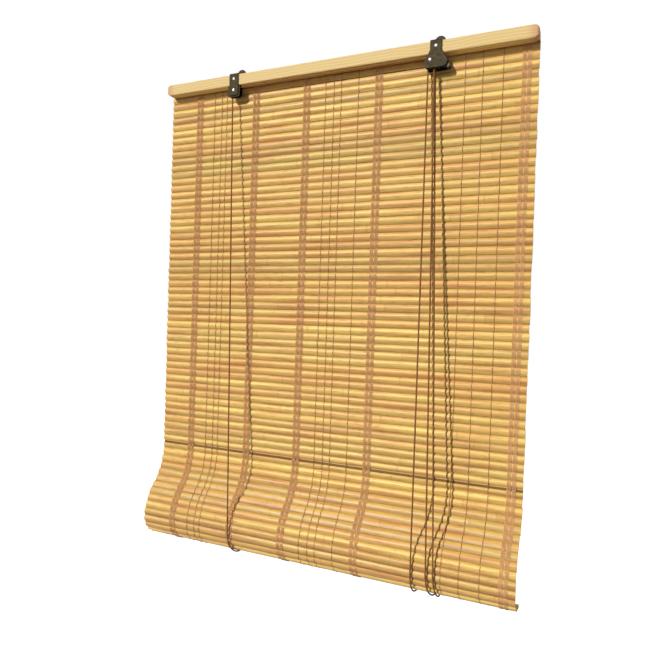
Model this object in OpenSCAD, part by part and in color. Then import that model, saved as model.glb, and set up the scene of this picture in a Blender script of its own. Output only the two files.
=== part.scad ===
// Bamboo roll up blind, hanging almost fully let down with its foot curled under.
// Frame: X along the headrail, -Y towards the room, +Z up, millimetres.
// The origin lies midway between the two hanging eyes, on the wall plane (Y = 0).

/* [Slat mat] */
// Width of the mat, which is the length of every slat
mat_w = 600; // [560:5:700]
// Distance from one slat to the next along the mat
slat_pitch = 11.6; // [11.4:0.1:11.8]
// Width of one slat
slat_w = 10.4; // [9.6:0.1:10.6]
// Thickness of a slat at its crest
slat_t = 3; // [2.4:0.1:3.4]
// Thickness of a slat at its long edges
slat_edge_t = 1; // [0.8:0.1:1.2]
// Thickness of the warp that joins neighbouring slats
web_t = 0.6; // [0.4:0.1:0.8]
// Play left beside each open gap between two slats
gap_lip = 0.1; // [0.05:0.05:0.2]

/* [Warp bands] */
// Width of the woven band of warp threads
band_w = 12; // [8:1:16]
// Thickness of the band of warp threads
band_t = 0.5; // [0.3:0.1:0.8]
// Middles of the three left bands, from the mat's left end as seen from the room
band_from_left = [58, 168, 259]; // [20:1:280]
// Middles of the two right bands, from the mat's right end
band_from_right = [223, 16]; // [8:1:280]

/* [Hang] */
// Length of mat that hangs straight down
straight_len = 609; // [600:1:612]
// Radius of the bend that swings the foot of the mat forward
swing_r = 95; // [85:1:105]
// Radius of the bend that brings the foot back upright
return_r = 75; // [70:1:80]
// Angle of the forward swing
swing_deg = 42; // [36:1:44]
// Radius of the curl that tucks the foot under
curl_r = 30; // [28:1:34]
// Angle of the curl
curl_deg = 105; // [85:1:125]
// Room between the wall plane and the back of the mat
wall_gap = 3.4; // [3.2:0.1:5]

/* [Headrail] */
// Length of the headrail
rail_l = 600; // [590:1:720]
// Height of the headrail
rail_h = 18; // [17:0.5:22]
// Depth of the headrail
rail_d = 15; // [13:0.5:18]
// Rounding of the two front edges of the headrail
rail_round = 2; // [1:0.5:6]
// Rounding of the headrail's ends, seen from above
rail_end_r = 3; // [2:0.5:5]
// Step from the headrail's top down to the top of the mat
mat_step = 4; // [2:0.5:6]

/* [Hangers] */
// Distance between the two hanging eyes
hanger_gap = 330; // [320:1:340]
// Width of the hanger straps
strap_w = 16.5; // [15:0.5:18]
// Thickness of the hanger straps
strap_t = 1.5; // [1.2:0.1:2]
// Radius of the hanging eyes
eye_r = 2.25; // [1.75:0.25:3]
// Height of the hanging eyes above the headrail
eye_rise = 7; // [6:0.5:9]
// Length of strap below the headrail
strap_drop = 16; // [15:0.5:18]
// Step from the headrail's top down to the fixing screws
screw_step = 7.5; // [6:0.5:10]
// Thickness of the saddle plates
plate_t = 1; // [0.8:0.1:1.2]
// Width of the left saddle
saddle_w = 22; // [20:0.5:25]
// Length of the left saddle's legs below the headrail
saddle_drop = 18; // [17:0.5:20]

/* [Cord lock] */
// Width of the flared lock plates
lock_w = 34; // [33:0.5:38]
// Length of the lock plates below the headrail
lock_drop = 20; // [20:0.5:22]
// Height above the headrail's underside where the lock plates start to flare
flare_rise = 5; // [4:0.5:7]
// Depth below the headrail's underside where the lock plates are widest
flare_fall = 12; // [10:0.5:13]
// Step from the hanger's middle to the lock pulleys, to the left
lock_pulley_step = 8; // [7.5:0.25:8.5]
// Step from the hanger's middle to the cam's pin, to the right
cam_step = 7.5; // [7.5:0.25:9]
// Step from the pulleys' axis down to the cam's pin
cam_fall = 4; // [3.5:0.25:4.5]
// Step from the pulleys' axis to the strands' side of the post, to the right
post_step = 3.8; // [3.6:0.1:4]
// Step from the pulleys' axis down to the top of the post
post_fall = 6.7; // [6.5:0.1:7]
// Radius of the cam's toothed nose
nose_r = 9.9; // [9:0.1:9.9]
// Depth of the teeth on the nose
tooth_h = 0.8; // [0.4:0.1:1]
// Length of the cam's tail from its pin
tail_len = 13.5; // [12:0.5:15]
// Width of the cam's tail
tail_w = 5.6; // [5:0.1:6]

/* [Pulleys and pins] */
// Radius of a pulley's rim
pulley_r = 6.2; // [5.6:0.1:6.4]
// Radius at the bottom of a pulley's groove
groove_r = 3.7; // [3:0.1:3.7]
// Width of a pulley
pulley_w = 5; // [4.6:0.1:5.2]
// Radius of the pulley and cam pins
pin_r = 1.5; // [1.2:0.1:1.8]
// Radius of the shiny rivet and screw heads
head_r = 2.2; // [2:0.1:2.6]
// Height of the shiny heads
head_h = 1.2; // [0.8:0.1:1.6]
// Radius of the fixed post that the cam works against
post_r = 2; // [1.6:0.1:2]

/* [Tacks and batten] */
// Radius of a tack's shank
tack_r = 0.8; // [0.6:0.1:1]
// Radius of a tack's head
tack_head_r = 3; // [2.4:0.1:3.4]
// Thickness of a tack's head
tack_head_t = 0.8; // [0.6:0.1:0.9]
// Depth that tacks and screws go into the headrail
bite = 9; // [7:0.5:10]
// Thickness of the batten at the foot of the mat
batten_t = 6; // [4:0.5:8]
// How far each end of the batten lies inside the curl
batten_inset = 8; // [0:1:20]

/* [Cords] */
// Diameter of the cords
cord_d = 2.2; // [1.6:0.1:2.2]
// Radius of the knot that ends the two pull strands
knot_r = 3.2; // [2.6:0.1:3.4]

/* [Fits] */
// Gap between seated pieces
seat = 0.1; // [0.05:0.05:0.2]
// Side play of the pulleys and the cam
play = 0.2; // [0.1:0.05:0.3]
// Radial running clearance on pins and in drilled holes
run_gap = 0.05; // [0.02:0.01:0.08]

/* [Hidden] */
$fn = 64;

// Colours
bamboo = "burlywood";
thread = "rosybrown";
pine = "wheat";
bronze = "darkslategray";
steel = "silver";
cotton = "peru";

// Depths are counted from the wall plane towards the room, so Y = -depth
crest_depth = wall_gap + slat_t;
rail_back = crest_depth + band_t + 2 * seat;
rail_front = rail_back + rail_d;
strap_back = rail_front + seat;
strap_front = strap_back + strap_t;
cage_front = rail_front - plate_t;
front_lane = cage_front - play - pulley_w / 2;
rear_lane = front_lane - play - pulley_w;
left_cage_back = front_lane - pulley_w / 2 - play;
lock_cage_back = rear_lane - pulley_w / 2 - play;

// Heights, with the hanging eyes at zero
rail_top = -eye_rise;
rail_bottom = rail_top - rail_h;
mat_top = rail_top - mat_step;
cage_top = rail_bottom - seat;
pulley_z = cage_top - plate_t - play - pulley_r;
screw_z = rail_top - screw_step;
strap_foot = rail_bottom - strap_drop;
saddle_foot = rail_bottom - saddle_drop;
lock_foot = rail_bottom - lock_drop;
flare_top = rail_bottom + flare_rise;
flare_z = rail_bottom - flare_fall;
tab_top = strap_w / 2;

// Places along the headrail
left_x = -hanger_gap / 2;
lock_x = hanger_gap / 2;
lock_pulley_x = lock_x - lock_pulley_step;
cam_x = lock_x + cam_step;
cam_z = pulley_z - cam_fall;
post_x = lock_pulley_x + post_step - post_r;
post_z = pulley_z - post_fall - post_r;
post_tenon_r = 1.2;
flat_end_t = 0.6;

// The cam's nose grows as a spiral from its first tooth to full size
hub_t = 2.7;
teeth_n = 6;
tooth_deg = 6;
nose_from_deg = 184;
nose_full_deg = 208;
nose_rise = 0.07;
tail_deg = -32;

// Woven bands of warp threads
band_x = concat([for (d = band_from_left) d - mat_w / 2], [for (d = band_from_right) mat_w / 2 - d]);

// Tacks stand midway between the bands, with two in the widest space, at the right
space = concat([-mat_w / 2], band_x);
tack_x = concat([for (i = [0:3]) (space[i] + space[i + 1]) / 2],
  [for (share = [1 / 4, 3 / 4]) space[4] + share * (space[5] - space[4])]);
tack_z = mat_top - slat_pitch / 2;

// Lengths of mat in the three bends, and the slats that fill the whole length
swing_len = swing_r * swing_deg * PI / 180;
return_len = return_r * swing_deg * PI / 180;
curl_len = curl_r * curl_deg * PI / 180;
slat_count = round((straight_len + swing_len + return_len + curl_len) / slat_pitch);

// Gaps between the slats lie in two bays, between the outer bands and the middle one
gap_first = 2;
closed_at_foot = 6;
gap_rows = slat_count - gap_first - closed_at_foot;
bay_lo = [band_x[0] + band_w, band_x[2] + band_w];
bay_hi = [band_x[2] - band_w, band_x[4] - band_w];

// Cord routes in X, Y, Z, from the tack behind the headrail to the knot
left_route = [
  [-170, -2.1, -17.9], [-140, -2.1, -640], [-131, -7.2, -760], [-130, -8.6, -766.5],
  [-130, -14, -769.7], [-129, -23.3, -769.2], [-129, -35.1, -764.9], [-130, -44.6, -756.9],
  [-131, -50.9, -746.1], [-131, -53.1, -734], [-131.4, -53.1, -726], [-170, -18.4, -32.5],
  [-169.6, -18.4, -30.6], [-168.5, -18.4, -29], [-166.9, -18.4, -27.9],
  [-165, -18.4, -27.5], [157, -18.4, -27.5], [158.9, -18.4, -27.9], [160.5, -18.4, -29],
  [161.6, -18.4, -30.6], [162, -18.4, -32.5], [184, -53.1, -726], [184, -53.1, -734],
  [185, -50.9, -746.1], [186, -44.6, -756.9], [188, -35.1, -764.9], [189, -23.3, -769.2],
  [190.6, -14, -769.7], [191.8, -7.9, -769]];
right_route = [
  [152, -2.1, -17.9], [160, -2.1, -640], [162, -7.2, -760], [163, -8.6, -766.5],
  [163, -14, -769.7], [163, -23.3, -769.2], [163, -35.1, -764.9], [163, -44.6, -756.9],
  [163, -50.9, -746.1], [163, -53.1, -734], [163, -53.1, -726], [152, -13.2, -32.5],
  [152.4, -13.2, -30.6], [153.5, -13.2, -29], [155.1, -13.2, -27.9], [157, -13.2, -27.5],
  [158.9, -13.2, -27.9], [160.5, -13.2, -29], [161.6, -13.2, -30.6], [162, -13.2, -32.5],
  [194, -53.1, -726], [194, -53.1, -734], [195, -50.9, -746.1], [196, -44.6, -756.9],
  [197, -35.1, -764.9], [196.5, -23.3, -769.2], [195.4, -14, -769.7], [194.2, -7.9, -769]];
knot_at = [193, -5.6, -769];
cord_tack_x = [left_route[0][0], right_route[0][0]];
cord_sides = 8;

// Rounds the corners of a polygon: each point is [x, y, radius]
function unit(v) = v / norm(v);
function corner(a, b, c, r) =
  let (u = unit(a - b), w = unit(c - b), half = acos(max(-1, min(1, u * w))) / 2)
  let (mid = b + unit(u + w) * r / sin(half))
  let (p = b + u * r / tan(half), q = b + w * r / tan(half))
  let (a0 = atan2(p[1] - mid[1], p[0] - mid[0]), a1 = atan2(q[1] - mid[1], q[0] - mid[0]))
  let (sweep = (a1 - a0 + 540) % 360 - 180)
  [for (i = [0:6]) mid + r * [cos(a0 + sweep * i / 6), sin(a0 + sweep * i / 6)]];
function flat(p) = [p[0], p[1]];
function rounded(points) = let (n = len(points))
  [for (i = [0:n - 1]) each points[i][2] == 0 ? [flat(points[i])]
    : corner(flat(points[(i + n - 1) % n]), flat(points[i]), flat(points[(i + 1) % n]), points[i][2])];

// Lays a drawing of [depth, height] along X, and a drawing of [X, height] along Y
module along_x(length) {
  rotate([90, 0, -90]) linear_extrude(length, center = true) children();
}
module between_depths(near, far) {
  translate([0, -near, 0]) rotate([90, 0, 0]) linear_extrude(far - near) children();
}
// Turns a drawing of [radius, depth] about a pin axis
module turned(x, z) {
  translate([x, 0, z]) rotate([90, 0, 0]) rotate_extrude() children();
}
module drilled(x, z, r) {
  translate([x, 10, z]) rotate([90, 0, 0]) cylinder(r = r, h = rail_front + 30);
}

// The mat's back line in [depth, height, lean], at a distance s from its top edge
function bend(p, r, way, length) = let (lean = p[2] + way * length / r * 180 / PI)
  [p[0] - way * r * (cos(lean) - cos(p[2])), p[1] - way * r * (sin(lean) - sin(p[2])), lean];
swing_from = [wall_gap, mat_top - straight_len, 0];
return_from = bend(swing_from, swing_r, 1, swing_len);
curl_from = bend(return_from, return_r, -1, return_len);
function hang(s) =
  s < straight_len ? [wall_gap, mat_top - s, 0]
  : s < straight_len + swing_len ? bend(swing_from, swing_r, 1, s - straight_len)
  : s < straight_len + swing_len + return_len
    ? bend(return_from, return_r, -1, s - straight_len - swing_len)
  : bend(curl_from, curl_r, -1, s - straight_len - swing_len - return_len);
// A point u further down the mat and h in front of its back line
function off(p, u, h) = [p[0] + u * sin(p[2]) + h * cos(p[2]), p[1] - u * cos(p[2]) + h * sin(p[2])];
function slat_at(k) = hang((k + 0.5) * slat_pitch);
function joint_at(k) = hang(k * slat_pitch);

// One slat's front, from its upper edge to its lower one
shoulder_h = slat_edge_t + (slat_t - slat_edge_t) * 0.64;
ridge = [[-0.5 * slat_w, web_t], [-0.5 * slat_w, slat_edge_t], [-0.3 * slat_w, shoulder_h],
  [0, slat_t], [0.3 * slat_w, shoulder_h], [0.5 * slat_w, slat_edge_t], [0.5 * slat_w, web_t]];

module headrail() {
  color(pine) difference() {
    intersection() {
      along_x(rail_l) polygon(rounded([[rail_back, rail_bottom, 1.5], [rail_front, rail_bottom, rail_round],
        [rail_front, rail_top, rail_round], [rail_back, rail_top, 1.5]]));
      translate([0, 0, rail_bottom - 1]) linear_extrude(rail_h + 2)
        polygon(rounded([[-rail_l / 2, -rail_front, rail_end_r], [rail_l / 2, -rail_front, rail_end_r],
          [rail_l / 2, -rail_back, 1.5], [-rail_l / 2, -rail_back, 1.5]]));
    }
    for (x = [left_x, lock_x])
      translate([x, 0, screw_z]) rotate([90, 0, 0]) translate([0, 0, rail_front - bite])
        cylinder(r = pin_r + run_gap, h = bite + 1);
    for (x = concat(tack_x, cord_tack_x))
      translate([x, 0, tack_z]) rotate([90, 0, 0]) cylinder(r = tack_r + run_gap, h = rail_back + bite);
  }
}

module slat_mat() {
  front = [for (k = [0:slat_count - 1], p = ridge) off(slat_at(k), p[0], p[1])];
  back = [for (k = [slat_count - 1:-1:0], u = [0.5, -0.5]) off(slat_at(k), u * slat_w, 0)];
  gap_w = slat_pitch - slat_w - 2 * gap_lip;
  color(bamboo) difference() {
    along_x(mat_w) polygon(concat(front, back));
    for (row = [gap_first:gap_first + gap_rows - 1], bay = [0, 1])
      let (p = joint_at(row))
        translate([bay_lo[bay], -p[0], p[1]]) rotate([-p[2], 0, 0])
          translate([0, -web_t - slat_t / 4, -gap_w / 2])
            cube([bay_hi[bay] - bay_lo[bay], web_t + slat_t / 2, gap_w]);
    for (x = concat(tack_x, cord_tack_x)) drilled(x, tack_z, tack_r + run_gap);
  }
}

// Batten tied to the inside of the last slat
module bottom_batten() {
  p = slat_at(slat_count - 1);
  color(bamboo) translate([0, -p[0], p[1]]) rotate([-p[2], 0, 0]) along_x(mat_w - 2 * batten_inset)
    polygon(rounded([[-seat, -slat_w / 2, 1], [-seat, slat_w / 2, 1],
      [-seat - batten_t, slat_w / 2, 2.5], [-seat - batten_t, -slat_w / 2, 2.5]]));
}

// Band of warp threads drawn over every crest and dipping between the slats
module warp_band(i) {
  function line(lift) = [for (k = [0:slat_count - 1]) each [
    off(slat_at(k), 0, slat_t + lift),
    if (k < slat_count - 1) off(joint_at(k + 1), 0, 0.8 * slat_t + lift)]];
  inner = line(seat);
  outer = line(seat + band_t);
  color(thread) translate([band_x[i], 0, 0]) along_x(band_w)
    polygon(concat(inner, [for (j = [len(outer) - 1:-1:0]) outer[j]]));
}
module warp_band_1() { warp_band(0); }
module warp_band_2() { warp_band(1); }
module warp_band_3() { warp_band(2); }
module warp_band_4() { warp_band(3); }
module warp_band_5() { warp_band(4); }

// Round headed tack driven through the mat from behind
module tack(x, head_depth) {
  turned(x, tack_z) polygon([[0, head_depth - tack_head_t], [tack_head_r * 0.7, head_depth - tack_head_t],
    [tack_head_r, head_depth - tack_head_t / 2], [tack_head_r, head_depth], [tack_r, head_depth],
    [tack_r, rail_back + bite - 2], [0, rail_back + bite - 1]]);
}
module mat_tacks() { color(steel) for (x = tack_x) tack(x, wall_gap); }
module cord_tacks() { color(steel) for (x = cord_tack_x) tack(x, tack_head_t + 0.1); }

// Strap bent over the headrail: front leg, top and a rear tab with the hanging eye
module strap(x, holes) {
  color(bronze) difference() {
    intersection() {
      translate([x, 0, 0]) along_x(2 * lock_w) polygon(rounded([
        [strap_front, lock_foot - 5, 0], [strap_front, rail_top + seat + strap_t, 2.5],
        [strap_t, rail_top + seat + strap_t, 1], [strap_t, tab_top + 1, 0], [0, tab_top + 1, 0],
        [0, rail_top + seat, 2.5], [strap_back, rail_top + seat, 1], [strap_back, lock_foot - 5, 0]]));
      translate([x, 0, 0]) between_depths(-1, strap_front + 1) children();
    }
    drilled(x, 0, eye_r);
    drilled(x, screw_z, pin_r + run_gap);
    for (h = holes) drilled(h[0], h[1], h[2] + run_gap);
  }
}
module strap_outline(foot) {
  polygon(rounded([[-strap_w / 2, foot, 3], [strap_w / 2, foot, 3],
    [strap_w / 2, tab_top, strap_w / 2 - 0.05], [-strap_w / 2, tab_top, strap_w / 2 - 0.05]]));
}
// Flared outline of the lock plates, as wide as the strap where it starts
module flare_outline(foot) {
  polygon(rounded([[-lock_w / 2 + 3, foot, 4], [lock_w / 2 - 3, foot, 4], [lock_w / 2, flare_z, 2.5],
    [strap_w / 2, flare_top, 2], [-strap_w / 2, flare_top, 2], [-lock_w / 2, flare_z, 2.5]]));
}

// Saddle folded over like an upturned U under the headrail
module saddle(x, cage_back, foot, holes) {
  color(bronze) difference() {
    intersection() {
      translate([x, 0, 0]) along_x(2 * lock_w) polygon(rounded([
        [rail_front, lock_foot - 5, 0], [rail_front, cage_top, 1.8], [cage_back - plate_t, cage_top, 1.8],
        [cage_back - plate_t, lock_foot - 5, 0], [cage_back, lock_foot - 5, 0],
        [cage_back, cage_top - plate_t, 0.8], [cage_front, cage_top - plate_t, 0.8],
        [cage_front, lock_foot - 5, 0]]));
      translate([x, 0, 0]) between_depths(0, rail_front + 1) children();
    }
    for (h = holes) drilled(h[0], h[1], h[2] + run_gap);
  }
}

// Grooved pulley and the rivet that it turns on
module pulley(x, lane) {
  rim_w = pulley_w / 2;
  floor_w = cord_d / 2 + 0.2;
  turned(x, pulley_z) polygon([[pin_r + run_gap, lane - rim_w], [pulley_r, lane - rim_w],
    [pulley_r, lane - rim_w + 0.6], [groove_r, lane - floor_w], [groove_r, lane + floor_w],
    [pulley_r, lane + rim_w - 0.6], [pulley_r, lane + rim_w], [pin_r + run_gap, lane + rim_w]]);
}
module rivet(x, z, back, front) {
  dome = [for (a = [0:15:90]) [head_r * cos(a), front + head_h * sin(a)]];
  turned(x, z) polygon(concat([[0, back - flat_end_t], [head_r, back - flat_end_t], [head_r, back],
    [pin_r, back], [pin_r, front]], dome));
}
module plain_pin(x, z, back, front, r, shoulder_r) {
  turned(x, z) polygon([[0, back], [r, back], [r, lock_cage_back + play / 2],
    [shoulder_r, lock_cage_back + play / 2], [shoulder_r, cage_front - play / 2],
    [r, cage_front - play / 2], [r, front], [0, front]]);
}
module screw(x) {
  dome = [for (a = [0:15:90]) [head_r * cos(a), strap_front + head_h * sin(a)]];
  turned(x, screw_z) polygon(concat([[0, rail_front - bite + 0.5], [pin_r, rail_front - bite + 2.5],
    [pin_r, strap_front]], dome));
}

module left_strap() {
  strap(left_x, [[left_x, pulley_z, pin_r]]) strap_outline(strap_foot);
}
module left_saddle() {
  saddle(left_x, left_cage_back, saddle_foot, [[left_x, pulley_z, pin_r]])
    polygon(rounded([[-saddle_w / 2, saddle_foot, 4], [saddle_w / 2, saddle_foot, 4],
      [saddle_w / 2, rail_bottom, 0], [-saddle_w / 2, rail_bottom, 0]]));
}
module left_pulley() { color("dimgray") pulley(left_x, front_lane); }
module left_pulley_rivet() { color(steel) rivet(left_x, pulley_z, left_cage_back - plate_t, strap_front); }
module left_screw() { color(steel) screw(left_x); }

lock_holes = [[lock_pulley_x, pulley_z, pin_r], [cam_x, cam_z, pin_r], [post_x, post_z, post_tenon_r]];
module lock_strap() {
  strap(lock_x, lock_holes) union() {
    strap_outline(flare_z);
    flare_outline(lock_foot + 1);
  }
}
module lock_saddle() {
  saddle(lock_x, lock_cage_back, lock_foot, lock_holes) flare_outline(lock_foot);
}
module lock_front_pulley() { color("dimgray") pulley(lock_pulley_x, front_lane); }
module lock_rear_pulley() { color("dimgray") pulley(lock_pulley_x, rear_lane); }
module lock_pulley_rivet() {
  color(steel) rivet(lock_pulley_x, pulley_z, lock_cage_back - plate_t, strap_front);
}
module lock_cam_pin() {
  color(bronze) plain_pin(cam_x, cam_z, lock_cage_back - plate_t, strap_front, pin_r, pin_r);
}
module lock_post() {
  color(bronze) plain_pin(post_x, post_z, lock_cage_back - plate_t, strap_front, post_tenon_r, post_r);
}
module lock_screw() { color(steel) screw(lock_x); }

// Cam with a toothed nose towards the strands and a tail that swings it shut
module lock_cam() {
  hub_r = pin_r + hub_t;
  function spiral(a) = min(nose_r, nose_r - (nose_full_deg - a) * nose_rise);
  teeth = [for (i = [0:2 * teeth_n]) let (a = nose_from_deg + i * tooth_deg / 2,
    r = spiral(a) - (i % 2) * tooth_h) r * [cos(a), sin(a)]];
  color("gray") translate([cam_x, 0, cam_z])
    between_depths(lock_cage_back + play, cage_front - play) difference() {
      union() {
        circle(hub_r);
        polygon(concat([hub_r * [cos(150), sin(150)]], teeth, [hub_r * [cos(250), sin(250)]]));
        rotate(tail_deg) polygon(rounded([[0, -tail_w / 2, 0], [tail_len, -tail_w / 2, tail_w / 2 - 0.2],
          [tail_len, tail_w / 2, tail_w / 2 - 0.2], [0, tail_w / 2, 0]]));
      }
      circle(pin_r + run_gap);
    }
}

// Plain cord: one tube swept along its route
function heading(route, i) = let (n = len(route))
  unit(i == 0 ? route[1] - route[0]
    : i == n - 1 ? route[n - 1] - route[n - 2]
    : unit(route[i] - route[i - 1]) + unit(route[i + 1] - route[i]));
function ring(c, d) =
  let (side = unit(cross(d, abs(d[0]) > 0.8 ? [0, 1, 0] : [1, 0, 0])), up = cross(side, d))
  [for (j = [0:cord_sides - 1]) c + cord_d / 2 * (cos(j * 360 / cord_sides) * side + sin(j * 360 / cord_sides) * up)];
module cord(route) {
  n = len(route);
  m = cord_sides;
  points = [for (i = [0:n - 1]) each ring(route[i], heading(route, i))];
  walls = [for (i = [0:n - 2], j = [0:m - 1])
    [i * m + j, i * m + (j + 1) % m, (i + 1) * m + (j + 1) % m, (i + 1) * m + j]];
  ends = [[for (j = [m - 1:-1:0]) j], [for (j = [0:m - 1]) (n - 1) * m + j]];
  polyhedron(points, concat(walls, ends));
}
module left_cord() { color(cotton) cord(left_route); }
module right_cord() { color(cotton) cord(right_route); }
module pull_knot() { color(cotton) translate(knot_at) sphere(knot_r); }

headrail();
slat_mat();
bottom_batten();
warp_band_1();
warp_band_2();
warp_band_3();
warp_band_4();
warp_band_5();
mat_tacks();
cord_tacks();
left_strap();
left_saddle();
left_pulley();
left_pulley_rivet();
left_screw();
lock_strap();
lock_saddle();
lock_front_pulley();
lock_rear_pulley();
lock_pulley_rivet();
lock_cam();
lock_cam_pin();
lock_post();
lock_screw();
left_cord();
right_cord();
pull_knot();
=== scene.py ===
import math
import random

import bmesh
import bpy
from mathutils import Matrix, Vector


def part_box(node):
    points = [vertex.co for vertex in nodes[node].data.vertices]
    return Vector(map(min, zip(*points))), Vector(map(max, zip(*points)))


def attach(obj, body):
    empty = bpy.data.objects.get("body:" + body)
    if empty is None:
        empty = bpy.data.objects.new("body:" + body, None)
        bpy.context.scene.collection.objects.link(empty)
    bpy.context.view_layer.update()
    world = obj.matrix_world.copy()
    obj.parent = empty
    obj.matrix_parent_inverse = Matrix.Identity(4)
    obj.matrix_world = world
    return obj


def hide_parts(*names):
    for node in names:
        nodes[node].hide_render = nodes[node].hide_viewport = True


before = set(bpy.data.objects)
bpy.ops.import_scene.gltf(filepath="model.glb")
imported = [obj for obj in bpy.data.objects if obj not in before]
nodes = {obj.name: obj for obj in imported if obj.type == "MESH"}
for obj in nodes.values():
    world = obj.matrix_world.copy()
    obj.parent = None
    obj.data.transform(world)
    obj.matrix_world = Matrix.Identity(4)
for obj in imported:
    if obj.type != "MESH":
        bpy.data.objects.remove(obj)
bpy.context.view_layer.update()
mm = 0.001
print("frame loaded,", len(nodes), "solids")


# sRGB hex to the linear colour that sockets take
def toLinear(hexColour):
    parts = [int(hexColour[i:i + 2], 16) / 255 for i in (1, 3, 5)]
    return tuple(c / 12.92 if c <= 0.04045 else ((c + 0.055) / 1.055) ** 2.4 for c in parts) + (1.0,)


# adds one node: settings are its own properties or its sockets, links feed its sockets
def addNode(tree, kind, settings={}, links={}):
    node = tree.nodes.new(kind)
    for name, value in settings.items():
        if isinstance(name, str) and hasattr(node, name):
            setattr(node, name, value)
        else:
            node.inputs[name].default_value = value
    for name, socket in links.items():
        tree.links.new(socket, node.inputs[name])
    return node


def newMaterial(name):
    made = bpy.data.materials.new(name)
    made.use_nodes = True
    made.node_tree.nodes.clear()
    return made, made.node_tree


def newPiece(name, data, body, materials):
    piece = bpy.data.objects.new(name, data)
    bpy.context.scene.collection.objects.link(piece)
    for material in materials:
        data.materials.append(material)
    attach(piece, body)
    return piece


# Camera, fitted to the slat lines of the photograph
cameraLook = {"place": (0.3916, -0.8319, -0.3990), "azimuth": 24.64, "pitch": -0.85, "roll": 1.89,
              "focalPixels": 600.0, "framePixels": 662.0, "sensor": 36.0, "nearest": 0.02}


def aimCamera(look):
    azimuth, pitch, roll = (math.radians(look[n]) for n in ("azimuth", "pitch", "roll"))
    flat = math.cos(pitch)
    ahead = Vector((-math.sin(azimuth) * flat, math.cos(azimuth) * flat, math.sin(pitch)))
    side = Vector((math.cos(azimuth), math.sin(azimuth), 0))
    up = side.cross(ahead)
    right = math.cos(roll) * side + math.sin(roll) * up
    top = math.cos(roll) * up - math.sin(roll) * side
    lens = bpy.data.cameras.new("camera")
    lens.sensor_width = look["sensor"]
    lens.lens = look["sensor"] * look["focalPixels"] / look["framePixels"]
    lens.clip_start = look["nearest"]
    camera = bpy.data.objects.new("camera", lens)
    bpy.context.scene.collection.objects.link(camera)
    turn = Matrix((right, top, -ahead)).transposed()
    camera.matrix_world = Matrix.Translation(look["place"]) @ turn.to_4x4()
    bpy.context.scene.camera = camera


aimCamera(cameraLook)
print("camera placed")


# Braided cotton cord: dull, fine slanting plaits, lint at the edge of the light
def braidedCord():
    made, tree = newMaterial("braided brown cotton cord")
    plaitPitch = 2.4 * mm  # drawn coarser than the real 1 mm plait so that it shows
    coords = addNode(tree, "ShaderNodeTexCoord")
    plait = addNode(tree, "ShaderNodeTexWave",
                    {"bands_direction": "DIAGONAL", "Scale": 2 * math.pi / (10 * plaitPitch),
                     "Distortion": 1.0, "Detail": 1.0},
                    {"Vector": coords.outputs["Object"]})
    lint = addNode(tree, "ShaderNodeTexNoise", {"Scale": 1 / (3 * mm), "Detail": 4.0},
                   {"Vector": coords.outputs["Object"]})
    colour = addNode(tree, "ShaderNodeMix",
                     {"data_type": "RGBA", 6: toLinear("#734624"), 7: toLinear("#b07a45")},
                     {0: plait.outputs["Fac"]})
    worn = addNode(tree, "ShaderNodeMix",
                   {"data_type": "RGBA", "blend_type": "MULTIPLY", 0: 0.45},
                   {6: colour.outputs[2], 7: lint.outputs["Fac"]})
    bump = addNode(tree, "ShaderNodeBump", {"Strength": 0.6, "Distance": 0.3 * mm},
                   {"Height": plait.outputs["Fac"]})
    shader = addNode(tree, "ShaderNodeBsdfPrincipled",
                     {"Roughness": 0.88, "Specular IOR Level": 0.25, "Sheen Weight": 0.08,
                      "Sheen Tint": toLinear("#a87848")},
                     {"Base Color": worn.outputs[2], "Normal": bump.outputs["Normal"]})
    addNode(tree, "ShaderNodeOutputMaterial", {}, {"Surface": shader.outputs["BSDF"]})
    return made


cordFinish = braidedCord()

# Cords: each starts at its tack behind the headrail, loops under the curl and ends in the hidden knot;
# the routes are the points of the part's source, in mm
cords = {
    "diameter": 2.2 * mm,
    "roundness": 3,
    "loopRadius": 1.95 * mm,
    "loopSteps": 24,
    "tackAt": (-2.15, -16.8),  # depth and height of both tacks, mm
    "left": {"node": "left_cord", "route": [
        (-170, -2.1, -17.9), (-140, -2.1, -640), (-131, -7.2, -760), (-130, -8.6, -766.5),
        (-130, -14, -769.7), (-129, -23.3, -769.2), (-129, -35.1, -764.9), (-130, -44.6, -756.9),
        (-131, -50.9, -746.1), (-131, -53.1, -734), (-131.4, -53.1, -726), (-170, -18.4, -32.5),
        (-169.6, -18.4, -30.6), (-168.5, -18.4, -29), (-166.9, -18.4, -27.9),
        (-165, -18.4, -27.5), (157, -18.4, -27.5), (158.9, -18.4, -27.9), (160.5, -18.4, -29),
        (161.6, -18.4, -30.6), (162, -18.4, -32.5), (184, -53.1, -726), (184, -53.1, -734),
        (185, -50.9, -746.1), (186, -44.6, -756.9), (188, -35.1, -764.9), (189, -23.3, -769.2),
        (190.6, -14, -769.7), (191.8, -7.9, -769)]},
    "right": {"node": "right_cord", "route": [
        (152, -2.1, -17.9), (160, -2.1, -640), (162, -7.2, -760), (163, -8.6, -766.5),
        (163, -14, -769.7), (163, -23.3, -769.2), (163, -35.1, -764.9), (163, -44.6, -756.9),
        (163, -50.9, -746.1), (163, -53.1, -734), (163, -53.1, -726), (152, -13.2, -32.5),
        (152.4, -13.2, -30.6), (153.5, -13.2, -29), (155.1, -13.2, -27.9), (157, -13.2, -27.5),
        (158.9, -13.2, -27.9), (160.5, -13.2, -29), (161.6, -13.2, -30.6), (162, -13.2, -32.5),
        (194, -53.1, -726), (194, -53.1, -734), (195, -50.9, -746.1), (196, -44.6, -756.9),
        (197, -35.1, -764.9), (196.5, -23.3, -769.2), (195.4, -14, -769.7), (194.2, -7.9, -769)]},
}


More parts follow.
